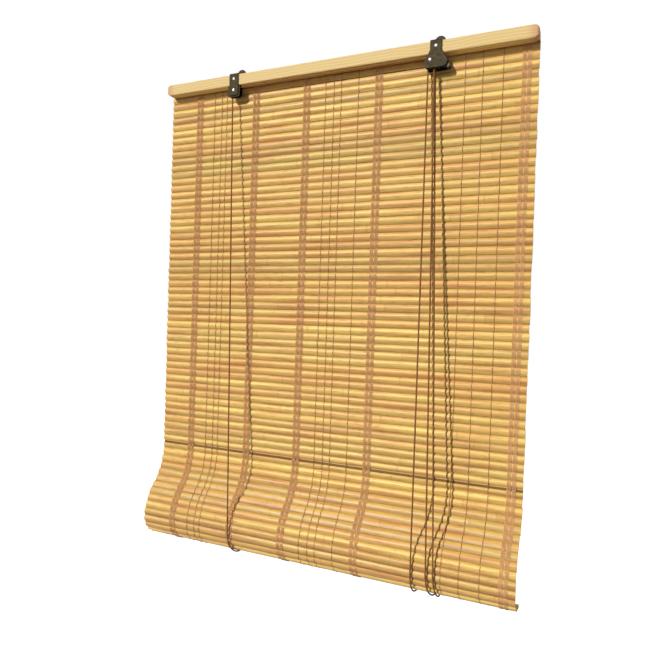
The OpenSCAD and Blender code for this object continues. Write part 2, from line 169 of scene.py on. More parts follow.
# rounds a route's corners: extra points keep the long runs straight, then corners are cut twice
def smoothRoute(route, longRun=0.03, easing=0.004, rounds=2):
    points = [Vector(p) * mm for p in route]
    eased = [points[0]]
    for a, b in zip(points, points[1:]):
        way = (b - a).normalized()
        if (b - a).length > longRun:
            eased += [a + way * easing, b - way * easing]
        eased.append(b)
    for _ in range(rounds):
        cut = [eased[0]]
        for a, b in zip(eased, eased[1:]):
            cut += [a.lerp(b, 0.25), a.lerp(b, 0.75)]
        eased = cut + [eased[-1]]
    return eased


def tubeCurve(name, lines, radius, roundness):
    curve = bpy.data.curves.new(name, "CURVE")
    curve.dimensions = "3D"
    curve.bevel_depth = radius
    curve.bevel_resolution = roundness
    curve.use_fill_caps = True
    for line, closed in lines:
        spline = curve.splines.new("POLY")
        spline.points.add(len(line) - 1)
        for point, place in zip(spline.points, line):
            point.co = (*place, 1)
        spline.use_cyclic_u = closed
    return curve


# Knot of the two pull ends: a three-lobed overhand turn with two short tails
knotLook = {"centre": (193 * mm, -5.6 * mm, -769 * mm), "lobe": 0.85 * mm, "steps": 60,
            "depthShare": 1.1, "radius": 0.95 * mm, "roundness": 2, "tail": 6 * mm, "tailSteps": 4,
            "tailSpread": 1.2 * mm, "tailBack": 0.6 * mm, "tailStart": 0.4}


def knotLines(look):
    centre = Vector(look["centre"])
    turn = []
    for i in range(look["steps"]):
        t = 2 * math.pi * i / look["steps"]
        lobes = Vector((math.sin(t) + 2 * math.sin(2 * t),
                        look["depthShare"] * math.sin(3 * t),
                        math.cos(t) - 2 * math.cos(2 * t)))
        turn.append(centre + look["lobe"] * lobes)
    lines = [(turn, True)]
    for way in (-1, 1):
        tail = []
        for i in range(look["tailSteps"] + 1):
            along = i / look["tailSteps"]
            reach = Vector((way * look["tailSpread"], look["tailBack"] * along, -look["tail"] * along))
            tail.append(centre + reach * (look["tailStart"] + (1 - look["tailStart"]) * along))
        lines.append((tail, False))
    return lines


knotCurve = tubeCurve("pull_knot_tied", knotLines(knotLook), knotLook["radius"], knotLook["roundness"])
knot = newPiece("pull_knot_tied", knotCurve, "blind", [cordFinish])
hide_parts("pull_knot")

for side in ("left", "right"):
    one = cords[side]
    line = smoothRoute(one["route"])
    name = side + "_braided_cord"
    curve = tubeCurve(name, [(line, False)], cords["diameter"] / 2, cords["roundness"])
    cord = newPiece(name, curve, "blind", [cordFinish])
    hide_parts(one["node"])
    tackAt = Vector((one["route"][0][0], *cords["tackAt"])) * mm
    loop = []
    for i in range(cords["loopSteps"]):
        a = 2 * math.pi * i / cords["loopSteps"]
        loop.append(tackAt + cords["loopRadius"] * Vector((math.cos(a), 0, math.sin(a))))
    name = side + "_cord_tie"
    curve = tubeCurve(name, [(loop, True)], cords["diameter"] / 2, cords["roundness"])
    tie = newPiece(name, curve, "blind", [cordFinish])
print("cords laid")

# Mat: the hang line of the part's source, in metres
mat = {"width": 0.600, "slats": 68, "pitch": 11.6 * mm, "slatWidth": 10.4 * mm, "crest": 3 * mm,
       "edge": 1 * mm, "web": 0.6 * mm, "back": 3.4 * mm, "top": -11 * mm, "straight": 609 * mm,
       "swingRadius": 95 * mm, "returnRadius": 75 * mm, "swingTurn": math.radians(42),
       "curlRadius": 30 * mm}


def bend(start, radius, way, length):
    depth, height, lean = start
    turned = lean + way * length / radius
    return (depth - way * radius * (math.cos(turned) - math.cos(lean)),
            height - way * radius * (math.sin(turned) - math.sin(lean)), turned)


# depth, height and lean of the mat's back at a length s from its top edge
def hang(s):
    swingLength = mat["swingRadius"] * mat["swingTurn"]
    returnLength = mat["returnRadius"] * mat["swingTurn"]
    place = (mat["back"], mat["top"] - min(s, mat["straight"]), 0.0)
    s -= mat["straight"]
    if s > 0:
        place = bend(place, mat["swingRadius"], 1, min(s, swingLength))
    s -= swingLength
    if s > 0:
        place = bend(place, mat["returnRadius"], -1, min(s, returnLength))
    s -= returnLength
    if s > 0:
        place = bend(place, mat["curlRadius"], -1, s)
    return place


# matrix that lays (along, down, out) of one slat or joint on the hang line
def hangMatrix(s):
    depth, height, lean = hang(s)
    return Matrix(((1, 0, 0, 0),
                   (0, -math.sin(lean), -math.cos(lean), -depth),
                   (0, -math.cos(lean), math.sin(lean), height),
                   (0, 0, 0, 1)))


def slatMatrix(k):
    return hangMatrix((k + 0.5) * mat["pitch"])


# Bamboo, skin side: honey straw colour, long fine fibres, riper patches and brown flecks, satin lacquer
def bambooSkin():
    made, tree = newMaterial("split bamboo skin, satin lacquer")
    fibreLength, fibreWidth = 45 * mm, 0.45 * mm
    patchLength, patchWidth = 110 * mm, 7 * mm
    fleckLength, fleckWidth = 16 * mm, 1.5 * mm
    face = addNode(tree, "ShaderNodeUVMap", {"uv_map": "slatFace"})
    tone = addNode(tree, "ShaderNodeAttribute", {"attribute_name": "slatTone"})
    toneParts = addNode(tree, "ShaderNodeSeparateColor", {}, {"Color": tone.outputs["Color"]})
    fibreAt = addNode(tree, "ShaderNodeMapping", {"Scale": (1 / fibreLength, 1 / fibreWidth, 1)},
                      {"Vector": face.outputs["UV"]})
    fibre = addNode(tree, "ShaderNodeTexNoise", {"Scale": 1.0, "Detail": 3.0, "Roughness": 0.6},
                    {"Vector": fibreAt.outputs["Vector"]})
    patchAt = addNode(tree, "ShaderNodeMapping", {"Scale": (1 / patchLength, 1 / patchWidth, 1)},
                      {"Vector": face.outputs["UV"]})
    patch = addNode(tree, "ShaderNodeTexNoise", {"Scale": 1.0, "Detail": 2.0},
                    {"Vector": patchAt.outputs["Vector"]})
    straw = addNode(tree, "ShaderNodeMix",
                    {"data_type": "RGBA", 6: toLinear("#ebc568"), 7: toLinear("#daaa58")},
                    {0: toneParts.outputs["Red"]})
    ripe = addNode(tree, "ShaderNodeMapRange",
                   {"interpolation_type": "SMOOTHSTEP", "From Min": 0.42, "From Max": 0.72,
                    "To Max": 0.8},
                   {"Value": patch.outputs["Fac"]})
    patched = addNode(tree, "ShaderNodeMix", {"data_type": "RGBA", 7: toLinear("#cb8949")},
                      {0: ripe.outputs["Result"], 6: straw.outputs[2]})
    # short brown flecks where the green was scraped off
    fleckAt = addNode(tree, "ShaderNodeMapping", {"Scale": (1 / fleckLength, 1 / fleckWidth, 1)},
                      {"Vector": face.outputs["UV"]})
    fleck = addNode(tree, "ShaderNodeTexNoise", {"Scale": 1.0, "Detail": 2.0},
                    {"Vector": fleckAt.outputs["Vector"]})
    fleckShare = addNode(tree, "ShaderNodeMapRange",
                         {"interpolation_type": "SMOOTHSTEP", "From Min": 0.52, "From Max": 0.72,
                          "To Max": 0.5},
                         {"Value": fleck.outputs["Fac"]})
    flecked = addNode(tree, "ShaderNodeMix", {"data_type": "RGBA", 7: toLinear("#a4652c")},
                      {0: fleckShare.outputs["Result"], 6: patched.outputs[2]})
    fibreShade = addNode(tree, "ShaderNodeMapRange",
                         {"From Min": 0.3, "From Max": 0.7, "To Min": 0.8, "To Max": 1.1},
                         {"Value": fibre.outputs["Fac"]})
    streaked = addNode(tree, "ShaderNodeMix", {"data_type": "RGBA", "blend_type": "MULTIPLY", 0: 1.0},
                       {6: flecked.outputs[2], 7: fibreShade.outputs["Result"]})
    brightened = addNode(tree, "ShaderNodeMix", {"data_type": "RGBA", "blend_type": "MULTIPLY", 0: 1.0},
                         {6: streaked.outputs[2], 7: toneParts.outputs["Green"]})
    across = addNode(tree, "ShaderNodeSeparateXYZ", {}, {"Vector": face.outputs["UV"]})
    # painted light and shade: the skin is painted palest above the crest and browner towards the lower
    # edge, as if lit from above
    paintedCrestLight = addNode(tree, "ShaderNodeMapRange",
                     {"interpolation_type": "SMOOTHSTEP", "From Min": -3.0 * mm, "From Max": 4.0 * mm,
                      "To Min": 1.1, "To Max": 0.76},
                     {"Value": across.outputs["Y"]})
    crestLitLowerShaded = addNode(tree, "ShaderNodeMix", {"data_type": "RGBA", "blend_type": "MULTIPLY", 0: 1.0},
                      {6: brightened.outputs[2], 7: paintedCrestLight.outputs["Result"]})
    # darker at its two edges, with painted shade down in the groove
    fromMiddle = addNode(tree, "ShaderNodeMath", {"operation": "ABSOLUTE"}, {0: across.outputs["Y"]})
    edgeDarkening = addNode(tree, "ShaderNodeMapRange",
                    {"interpolation_type": "SMOOTHSTEP", "From Min": 4.6 * mm, "From Max": 5.4 * mm,
                     "To Max": 0.35},
                    {"Value": fromMiddle.outputs["Value"]})
    groove = addNode(tree, "ShaderNodeMath", {"operation": "MAXIMUM"},
                     {0: edgeDarkening.outputs["Result"], 1: tone.outputs["Alpha"]})
    edged = addNode(tree, "ShaderNodeMix", {"data_type": "RGBA", 7: toLinear("#4a2d0d")},
                    {0: groove.outputs["Value"], 6: crestLitLowerShaded.outputs[2]})
    jointed = addNode(tree, "ShaderNodeMix", {"data_type": "RGBA", 7: toLinear("#9c6a33")},
                      {0: toneParts.outputs["Blue"], 6: edged.outputs[2]})
    gloss = addNode(tree, "ShaderNodeMapRange",
                    {"From Min": 0.3, "From Max": 0.7, "To Min": 0.38, "To Max": 0.54},
                    {"Value": fibre.outputs["Fac"]})
    dulled = addNode(tree, "ShaderNodeMath", {"operation": "MULTIPLY_ADD", 1: 2.0, "use_clamp": True},
                     {0: tone.outputs["Alpha"], 2: gloss.outputs["Result"]})
    bump = addNode(tree, "ShaderNodeBump", {"Strength": 0.25, "Distance": 0.08 * mm},
                   {"Height": fibre.outputs["Fac"]})
    shader = addNode(tree, "ShaderNodeBsdfPrincipled", {"IOR": 1.5, "Specular IOR Level": 0.5},
                     {"Base Color": jointed.outputs[2], "Roughness": dulled.outputs["Value"],
                      "Normal": bump.outputs["Normal"]})
    addNode(tree, "ShaderNodeOutputMaterial", {}, {"Surface": shader.outputs["BSDF"]})
    return made


# Bamboo, split side: paler and dry, with the coarse pores of the pith
def bambooPith():
    made, tree = newMaterial("split bamboo pith, raw")
    fibreLength, fibreWidth = 50 * mm, 0.6 * mm
    face = addNode(tree, "ShaderNodeUVMap", {"uv_map": "slatFace"})
    tone = addNode(tree, "ShaderNodeAttribute", {"attribute_name": "slatTone"})
    toneParts = addNode(tree, "ShaderNodeSeparateColor", {}, {"Color": tone.outputs["Color"]})
    fibreAt = addNode(tree, "ShaderNodeMapping", {"Scale": (1 / fibreLength, 1 / fibreWidth, 1)},
                      {"Vector": face.outputs["UV"]})
    fibre = addNode(tree, "ShaderNodeTexNoise", {"Scale": 1.0, "Detail": 4.0, "Roughness": 0.65},
                    {"Vector": fibreAt.outputs["Vector"]})
    light = addNode(tree, "ShaderNodeMix",
                    {"data_type": "RGBA", 6: toLinear("#b98c50"), 7: toLinear("#ead09a")},
                    {0: fibre.outputs["Fac"]})
    aged = addNode(tree, "ShaderNodeMix", {"data_type": "RGBA", "blend_type": "MULTIPLY", 0: 1.0},
                   {6: light.outputs[2], 7: toneParts.outputs["Green"]})
    warmed = addNode(tree, "ShaderNodeMix",
                     {"data_type": "RGBA", "blend_type": "MULTIPLY", 7: toLinear("#efd2ac")},
                     {0: toneParts.outputs["Red"], 6: aged.outputs[2]})
    across = addNode(tree, "ShaderNodeSeparateXYZ", {}, {"Vector": face.outputs["UV"]})
    fromMiddle = addNode(tree, "ShaderNodeMath", {"operation": "ABSOLUTE"}, {0: across.outputs["Y"]})
    edgeDarkening = addNode(tree, "ShaderNodeMapRange",
                    {"interpolation_type": "SMOOTHSTEP", "From Min": 4.5 * mm, "From Max": 5.5 * mm,
                     "To Max": 0.7},
                    {"Value": fromMiddle.outputs["Value"]})
    edged = addNode(tree, "ShaderNodeMix", {"data_type": "RGBA", 7: toLinear("#5b3d1a")},
                    {0: edgeDarkening.outputs["Result"], 6: warmed.outputs[2]})
    bump = addNode(tree, "ShaderNodeBump", {"Strength": 0.4, "Distance": 0.12 * mm},
                   {"Height": fibre.outputs["Fac"]})
    shader = addNode(tree, "ShaderNodeBsdfPrincipled", {"Roughness": 0.72, "IOR": 1.45},
                     {"Base Color": edged.outputs[2], "Normal": bump.outputs["Normal"]})
    addNode(tree, "ShaderNodeOutputMaterial", {}, {"Surface": shader.outputs["BSDF"]})
    return made


# Bamboo batten: a thick split lath, planed, between the skin and the pith in colour
def bambooLath():
    made, tree = newMaterial("planed bamboo lath")
    fibreLength, fibreWidth = 60 * mm, 0.7 * mm
    coords = addNode(tree, "ShaderNodeTexCoord")
    fibreAt = addNode(tree, "ShaderNodeMapping",
                      {"Scale": (1 / fibreLength, 1 / fibreWidth, 1 / fibreWidth)},
                      {"Vector": coords.outputs["Object"]})
    fibre = addNode(tree, "ShaderNodeTexNoise", {"Scale": 1.0, "Detail": 4.0, "Roughness": 0.6},
                    {"Vector": fibreAt.outputs["Vector"]})
    light = addNode(tree, "ShaderNodeMix",
                    {"data_type": "RGBA", 6: toLinear("#a97c42"), 7: toLinear("#d9b878")},
                    {0: fibre.outputs["Fac"]})
    bump = addNode(tree, "ShaderNodeBump", {"Strength": 0.3, "Distance": 0.1 * mm},
                   {"Height": fibre.outputs["Fac"]})
    shader = addNode(tree, "ShaderNodeBsdfPrincipled", {"Roughness": 0.6, "IOR": 1.45},
                     {"Base Color": light.outputs[2], "Normal": bump.outputs["Normal"]})
    addNode(tree, "ShaderNodeOutputMaterial", {}, {"Surface": shader.outputs["BSDF"]})
    return made


skinFinish = bambooSkin()
pithFinish = bambooPith()


# cuts a mesh right through at one place along its length
def cutAcross(bm, x):
    bmesh.ops.bisect_plane(bm, geom=bm.verts[:] + bm.edges[:] + bm.faces[:], dist=1e-7,
                           plane_co=(x, 0, 0), plane_no=(1, 0, 0))


# Slats: what differs from one split cane to the next; wideGap is the slat below the one wide joint,
# which carries painted shade
slatLook = {"seed": 11, "lap": 0.5 * mm, "lapHeight": 0.3 * mm, "lengthJitter": 1.0 * mm,
            "widthShare": (0.965, 1.0), "crestShare": (0.92, 1.0), "tiltDeg": 1.3, "backNick": 0.18 * mm,
            "bow": 0.35 * mm, "lengthSteps": 18, "brightness": (0.82, 1.06), "sharpDeg": 40,
            "nodeFirst": 0.02, "nodeGap": (0.16, 0.34), "nodeLast": 0.01, "nodeRise": 0.22 * mm,
            "nodeHalf": 2.0 * mm, "nodeTint": 0.35, "wideGap": 52, "wideTrim": 0.64,
            "wideGapPaintedShade": 0.8, "groovePaintedShade": 0.32, "patternShift": 1.37,
            "ridge": (-1, -0.92, -0.8, -0.66, -0.5, -0.35, -0.2, 0.0, 0.25, 0.5, 0.7, 0.87, 1),
            "crestAt": -0.2}


# height of a slat's face at a share of its half width: a round back, its crest a little above the middle
def slatFace(share, crest):
    away = share - slatLook["crestAt"]
    reach = 1 + slatLook["crestAt"] if away < 0 else 1 - slatLook["crestAt"]
    return mat["edge"] + (crest - mat["edge"]) * (1 - (away / reach) ** 2)


# a slat's section as (down, out) points: a lap at each edge, the round face and the nicked back
def slatRim(upper, lower, crest):
    inner, outer = mat["pitch"] / 2 - slatLook["lap"], mat["pitch"] / 2 + slatLook["lap"]
    step, nick = slatLook["lapHeight"], slatLook["backNick"]
    rim = [(-inner, step), (-outer, step), (-outer, mat["web"]), (-upper, mat["web"])]
    for share in slatLook["ridge"]:
        rim.append((share * (upper if share < 0 else lower), slatFace(share, crest)))
    rim += [(lower, step), (outer, step), (outer, nick)]
    rim += [(outer - 3 * nick, 0), (3 * nick - inner, 0), (-inner, nick)]
    return rim


# one slat, built flat along x with its cane joints, then bowed, tilted and laid on the hang line
def slatShape(k, rng):
    half = mat["slatWidth"] / 2 * rng.uniform(*slatLook["widthShare"])
    crest = mat["crest"] * rng.uniform(*slatLook["crestShare"])
    belowGap, aboveGap = k == slatLook["wideGap"], k == slatLook["wideGap"] - 1
    upper = half * (slatLook["wideTrim"] if belowGap else 1)
    lower = half * (slatLook["wideTrim"] if aboveGap else 1)
    left = -mat["width"] / 2 + rng.uniform(0, slatLook["lengthJitter"])
    right = mat["width"] / 2 - rng.uniform(0, slatLook["lengthJitter"])
    bow = rng.uniform(-1, 1) * slatLook["bow"]
    tilt = math.radians(rng.uniform(-1, 1) * slatLook["tiltDeg"])
    ripeness, brightness = rng.random(), rng.uniform(*slatLook["brightness"])
    rng.random()  # a spare draw, which keeps every later slat as it is
    canes = []
    x = left + rng.uniform(slatLook["nodeFirst"], slatLook["nodeGap"][1])
    while x < right - slatLook["nodeLast"]:
        canes.append(x)
        x += rng.uniform(*slatLook["nodeGap"])
    bm = bmesh.new()
    faceMap = bm.loops.layers.uv.new("slatFace")
    toneMap = bm.verts.layers.float_color.new("slatTone")
    cap = bm.faces.new([bm.verts.new((left, u, h)) for u, h in slatRim(upper, lower, crest)])
    grown = bmesh.ops.extrude_face_region(bm, geom=[cap])["geom"]
    farEnd = [v for v in grown if isinstance(v, bmesh.types.BMVert)]
    bmesh.ops.translate(bm, verts=farEnd, vec=(right - left, 0, 0))
    steps = slatLook["lengthSteps"]
    cuts = [left + (right - left) * (i + 1) / (steps + 1) for i in range(steps)]
    for x in canes:
        cuts = [c for c in cuts if abs(c - x) > 3 * slatLook["nodeHalf"]]
        cuts += [x - slatLook["nodeHalf"], x, x + slatLook["nodeHalf"]]
    for x in cuts:
        cutAcross(bm, x)
    for v in bm.verts:
        near = min((abs(v.co.x - x) for x in canes), default=1)
        atNode = max(0.0, 1 - near / slatLook["nodeHalf"])
        onFace = v.co.z > mat["web"] * 1.01  # proud of the groove
        atGap = (belowGap and v.co.y < 0) or (aboveGap and v.co.y > 0)
        # painted shade: the web in every groove is darkened through the tone's alpha, most at the wide
        # joint
        shade = slatLook["wideGapPaintedShade"] if atGap else slatLook["groovePaintedShade"]
        v[toneMap] = (ripeness, brightness, atNode * slatLook["nodeTint"], 0 if onFace else shade)
        if onFace:
            v.co.z += slatLook["nodeRise"] * atNode
    for f in bm.faces:
        f.normal_update()
        f.smooth = True
        skinSide = f.calc_center_median().z > mat["web"] * 0.9 and abs(f.normal.x) < 0.5
        f.material_index = 0 if skinSide else 1
        for loop in f.loops:
            loop[faceMap].uv = (loop.vert.co.x + slatLook["patternShift"] * k, loop.vert.co.y)
    for v in bm.verts:
        v.co.y += bow * (1 - (v.co.x / (mat["width"] / 2)) ** 2)
    place = slatMatrix(k) @ Matrix.Rotation(tilt, 4, "X")
    bmesh.ops.transform(bm, matrix=place, verts=bm.verts[:])
    bmesh.ops.recalc_face_normals(bm, faces=bm.faces[:])
    return bm


def slatPiece():
    rng = random.Random(slatLook["seed"])
    whole = bmesh.new()
    whole.loops.layers.uv.new("slatFace")
    whole.verts.layers.float_color.new("slatTone")
    one = bpy.data.meshes.new("one_slat")
    for k in range(mat["slats"]):
        bm = slatShape(k, rng)
        bm.to_mesh(one)
        bm.free()
        whole.from_mesh(one)
    data = bpy.data.meshes.new("bamboo_slats")
    whole.to_mesh(data)
    whole.free()
    bpy.data.meshes.remove(one)
    data.set_sharp_from_angle(angle=math.radians(slatLook["sharpDeg"]))
    return newPiece("bamboo_slats", data, "blind", [skinFinish, pithFinish])


slats = slatPiece()
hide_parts("slat_mat")
print("slats split:", mat["slats"], "with", len(slats.data.polygons), "faces")


# Warp thread: two-ply cotton, dull, with a slanting ply; pinkish tan in the bands, brown where single
def warpThread(name, dark, light):
    made, tree = newMaterial(name)
    plyPitch = 1.6 * mm  # drawn coarser than the real 0.7 mm ply so that it shows
    coords = addNode(tree, "ShaderNodeTexCoord")
    ply = addNode(tree, "ShaderNodeTexWave",
                  {"bands_direction": "DIAGONAL", "Scale": 2 * math.pi / (10 * plyPitch),
                   "Distortion": 0.8},
                  {"Vector": coords.outputs["Object"]})
    fade = addNode(tree, "ShaderNodeTexNoise", {"Scale": 1 / (30 * mm), "Detail": 3.0},
                   {"Vector": coords.outputs["Object"]})
    colour = addNode(tree, "ShaderNodeMix",
                     {"data_type": "RGBA", 6: toLinear(dark), 7: toLinear(light)},
                     {0: ply.outputs["Fac"]})
    faded = addNode(tree, "ShaderNodeMix", {"data_type": "RGBA", "blend_type": "MULTIPLY", 0: 0.2},
                    {6: colour.outputs[2], 7: fade.outputs["Fac"]})
    bump = addNode(tree, "ShaderNodeBump", {"Strength": 0.5, "Distance": 0.15 * mm},
                   {"Height": ply.outputs["Fac"]})
    shader = addNode(tree, "ShaderNodeBsdfPrincipled",
                     {"Roughness": 0.9, "Specular IOR Level": 0.2, "Sheen Weight": 0.15},
                     {"Base Color": faded.outputs[2], "Normal": bump.outputs["Normal"]})
    addNode(tree, "ShaderNodeOutputMaterial", {}, {"Surface": shader.outputs["BSDF"]})
    return made


threadFinish = warpThread("two-ply pinkish cotton thread", "#dba26b", "#f6c78a")
singleFinish = warpThread("two-ply brown cotton thread", "#966a40", "#bd8d58")

# Threads: two columns of four to a band, over and behind every slat, and single threads between bands
weave = {"bands": (58, 168, 259, 377, 584), "perColumn": 4, "spacing": 1.42 * mm, "radius": 0.52 * mm,
         "roundness": 1, "columnGap": 1.1 * mm, "sway": 0.16 * mm, "press": 0.6,
         "singles": (88, 102, 112, 291, 305, 317, 345, 503, 527, 554),
         "singleRadius": 0.45 * mm, "singleRoundness": 0,
         "stations": (-0.78, -0.4, 0.0, 0.4, 0.78), "backStations": (-0.5, 0.5), "dip": 0.15 * mm}


# a thread's line down the mat, in front of the slats or behind them
def threadLine(x, radius, front):
    line = []
    half = mat["slatWidth"] / 2
    for k in range(mat["slats"]):
        place = slatMatrix(k)
        sway = weave["sway"] * (1 if k % 2 else -1)
        press = weave["press"] * radius
        for share in weave["stations"] if front else weave["backStations"]:
            out = slatFace(share, mat["crest"]) + press if front else -press
            line.append(place @ Vector((x + sway, share * half, out)))
        if k < mat["slats"] - 1:
            out = weave["dip"] if front else 0
            line.append(hangMatrix((k + 1) * mat["pitch"]) @ Vector((x, 0, out)))
    return line


def bandPiece(i):
    middle = weave["bands"][i] * mm - mat["width"] / 2
    lines = []
    for j in range(weave["perColumn"]):
        away = weave["columnGap"] / 2 + (j + 0.5) * weave["spacing"]
        for x in (middle - away, middle + away):
            lines.append((threadLine(x, weave["radius"], True), False))
            lines.append((threadLine(x, weave["radius"], False), False))
    name = "warp_threads_" + str(i + 1)
    curve = tubeCurve(name, lines, weave["radius"], weave["roundness"])
    piece = newPiece(name, curve, "blind", [threadFinish])
    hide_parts("warp_band_" + str(i + 1))


for i in range(len(weave["bands"])):
    bandPiece(i)


def singlePiece():
    lines = []
    for place in weave["singles"]:
        x = place * mm - mat["width"] / 2
        lines.append((threadLine(x, weave["singleRadius"], True), False))
        lines.append((threadLine(x, weave["singleRadius"], False), False))
    curve = tubeCurve("single_threads", lines, weave["singleRadius"], weave["singleRoundness"])
    newPiece("single_threads", curve, "blind", [singleFinish])


singlePiece()
print("threads woven")


# Pine headrail: planed, pale, with straight growth lines and rings on its ends
def pineRail():
    made, tree = newMaterial("planed pine, thin lacquer")
    ringWidth, grainLength, grainWidth = 3.4 * mm, 60 * mm, 0.5 * mm
    heart = (0.0, 0.030, -0.075)  # the log's heart lies behind and below the rail
    ringDrift, alongShare = 12 * mm, 0.04  # rings wander a little and hardly change along the rail
    coords = addNode(tree, "ShaderNodeTexCoord")
    wander = addNode(tree, "ShaderNodeTexNoise", {"Scale": 1 / (90 * mm), "Detail": 1.0},
                     {"Vector": coords.outputs["Object"]})
    swayed = addNode(tree, "ShaderNodeVectorMath",
                     {"operation": "MULTIPLY_ADD", 1: (0, ringDrift, ringDrift)},
                     {0: wander.outputs["Color"], 2: coords.outputs["Object"]})
    fromHeart = addNode(tree, "ShaderNodeMapping",
                        {"vector_type": "POINT", "Location": tuple(-c for c in heart),
                         "Scale": (alongShare, 1, 1)},
                        {"Vector": swayed.outputs["Vector"]})
    rings = addNode(tree, "ShaderNodeTexWave",
                    {"wave_type": "RINGS", "rings_direction": "X", "wave_profile": "SAW",
                     "Scale": 2 * math.pi / (20 * ringWidth), "Distortion": 0.4, "Detail": 2.0},
                    {"Vector": fromHeart.outputs["Vector"]})
    grainAt = addNode(tree, "ShaderNodeMapping",
                      {"Scale": (1 / grainLength, 1 / grainWidth, 1 / grainWidth)},
                      {"Vector": coords.outputs["Object"]})
    grain = addNode(tree, "ShaderNodeTexNoise", {"Scale": 1.0, "Detail": 3.0},
                    {"Vector": grainAt.outputs["Vector"]})
    wood = addNode(tree, "ShaderNodeMix",
                   {"data_type": "RGBA", 6: toLinear("#e2c788"), 7: toLinear("#d5b16e")},
                   {0: rings.outputs["Fac"]})
    shade = addNode(tree, "ShaderNodeMapRange",
                    {"From Min": 0.3, "From Max": 0.7, "To Min": 0.9, "To Max": 1.04},
                    {"Value": grain.outputs["Fac"]})
    streaked = addNode(tree, "ShaderNodeMix", {"data_type": "RGBA", "blend_type": "MULTIPLY", 0: 1.0},
                       {6: wood.outputs[2], 7: shade.outputs["Result"]})
    place = addNode(tree, "ShaderNodeSeparateXYZ", {}, {"Vector": coords.outputs["Object"]})
    fromCentre = addNode(tree, "ShaderNodeMath", {"operation": "ABSOLUTE"}, {0: place.outputs["X"]})
    # the sawn ends soak up more lacquer
    endShare = addNode(tree, "ShaderNodeMapRange",
                       {"interpolation_type": "SMOOTHSTEP", "From Min": 282 * mm, "From Max": 299 * mm,
                        "To Max": 0.8},
                       {"Value": fromCentre.outputs["Value"]})
    ended = addNode(tree, "ShaderNodeMix", {"data_type": "RGBA", 7: toLinear("#c98f66")},
                    {0: endShare.outputs["Result"], 6: streaked.outputs[2]})
    bump = addNode(tree, "ShaderNodeBump", {"Strength": 0.2, "Distance": 0.1 * mm},
                   {"Height": grain.outputs["Fac"]})
    shader = addNode(tree, "ShaderNodeBsdfPrincipled",
                     {"Roughness": 0.6, "IOR": 1.47, "Specular IOR Level": 0.35},
                     {"Base Color": ended.outputs[2], "Normal": bump.outputs["Normal"]})
    addNode(tree, "ShaderNodeOutputMaterial", {}, {"Surface": shader.outputs["BSDF"]})
    return made


# Bronzed steel: near black, half matt, cloudy oxide with browner rubs
def bronzedSteel():
    made, tree = newMaterial("bronzed sheet steel")
    coords = addNode(tree, "ShaderNodeTexCoord")
    cloud = addNode(tree, "ShaderNodeTexNoise", {"Scale": 1 / (6 * mm), "Detail": 5.0, "Roughness": 0.6},
                    {"Vector": coords.outputs["Object"]})
    colour = addNode(tree, "ShaderNodeMix",
                     {"data_type": "RGBA", 6: toLinear("#15120c"), 7: toLinear("#332c20")},
                     {0: cloud.outputs["Fac"]})
    rough = addNode(tree, "ShaderNodeMapRange",
                    {"From Min": 0.3, "From Max": 0.7, "To Min": 0.4, "To Max": 0.62},
                    {"Value": cloud.outputs["Fac"]})
    bump = addNode(tree, "ShaderNodeBump", {"Strength": 0.15, "Distance": 0.1 * mm},
                   {"Height": cloud.outputs["Fac"]})
    shader = addNode(tree, "ShaderNodeBsdfPrincipled", {"Metallic": 1.0},
                     {"Base Color": colour.outputs[2], "Roughness": rough.outputs["Result"],
                      "Normal": bump.outputs["Normal"]})
    addNode(tree, "ShaderNodeOutputMaterial", {}, {"Surface": shader.outputs["BSDF"]})
    return made


# a plain metal or nylon whose colour and roughness wander a little
def plainFinish(name, dark, light, metallic, roughness, grain):
    made, tree = newMaterial(name)
    coords = addNode(tree, "ShaderNodeTexCoord")
    speckle = addNode(tree, "ShaderNodeTexNoise", {"Scale": 1 / grain, "Detail": 4.0},
                      {"Vector": coords.outputs["Object"]})
    colour = addNode(tree, "ShaderNodeMix", {"data_type": "RGBA", 6: toLinear(dark), 7: toLinear(light)},
                     {0: speckle.outputs["Fac"]})
    rough = addNode(tree, "ShaderNodeMapRange", {"To Min": roughness * 0.8, "To Max": roughness * 1.2},
                    {"Value": speckle.outputs["Fac"]})
    shader = addNode(tree, "ShaderNodeBsdfPrincipled", {"Metallic": metallic},
                     {"Base Color": colour.outputs[2], "Roughness": rough.outputs["Result"]})
    addNode(tree, "ShaderNodeOutputMaterial", {}, {"Surface": shader.outputs["BSDF"]})
    return made


bronzeFinish = bronzedSteel()
# zinc plate makes small bright dots, the casting is dark and faintly grainy, nylon has a soft dull sheen
zincFinish = plainFinish("bright zinc plated steel", "#b9b9b4", "#e6e6e2", 1.0, 0.26, 1.5 * mm)
castFinish = plainFinish("blackened die-cast zinc", "#26262a", "#3c3b3c", 0.8, 0.5, 0.8 * mm)
nylonFinish = plainFinish("moulded black nylon", "#141414", "#262524", 0.0, 0.5, 0.6 * mm)
cadFinishes = {
    "headrail": pineRail(), "bottom_batten": bambooLath(),
    "left_strap": bronzeFinish, "left_saddle": bronzeFinish, "lock_strap": bronzeFinish,
    "lock_saddle": bronzeFinish, "lock_cam_pin": bronzeFinish, "lock_post": bronzeFinish,
    "lock_cam": castFinish,
    "left_pulley": nylonFinish, "lock_front_pulley": nylonFinish, "lock_rear_pulley": nylonFinish,
    "left_pulley_rivet": zincFinish, "lock_pulley_rivet": zincFinish, "left_screw": zincFinish,
    "lock_screw": zincFinish, "mat_tacks": zincFinish, "cord_tacks": zincFinish,
}
for name, finish in cadFinishes.items():
    nodes[name].data.materials.clear()
    nodes[name].data.materials.append(finish)
print("solids finished")

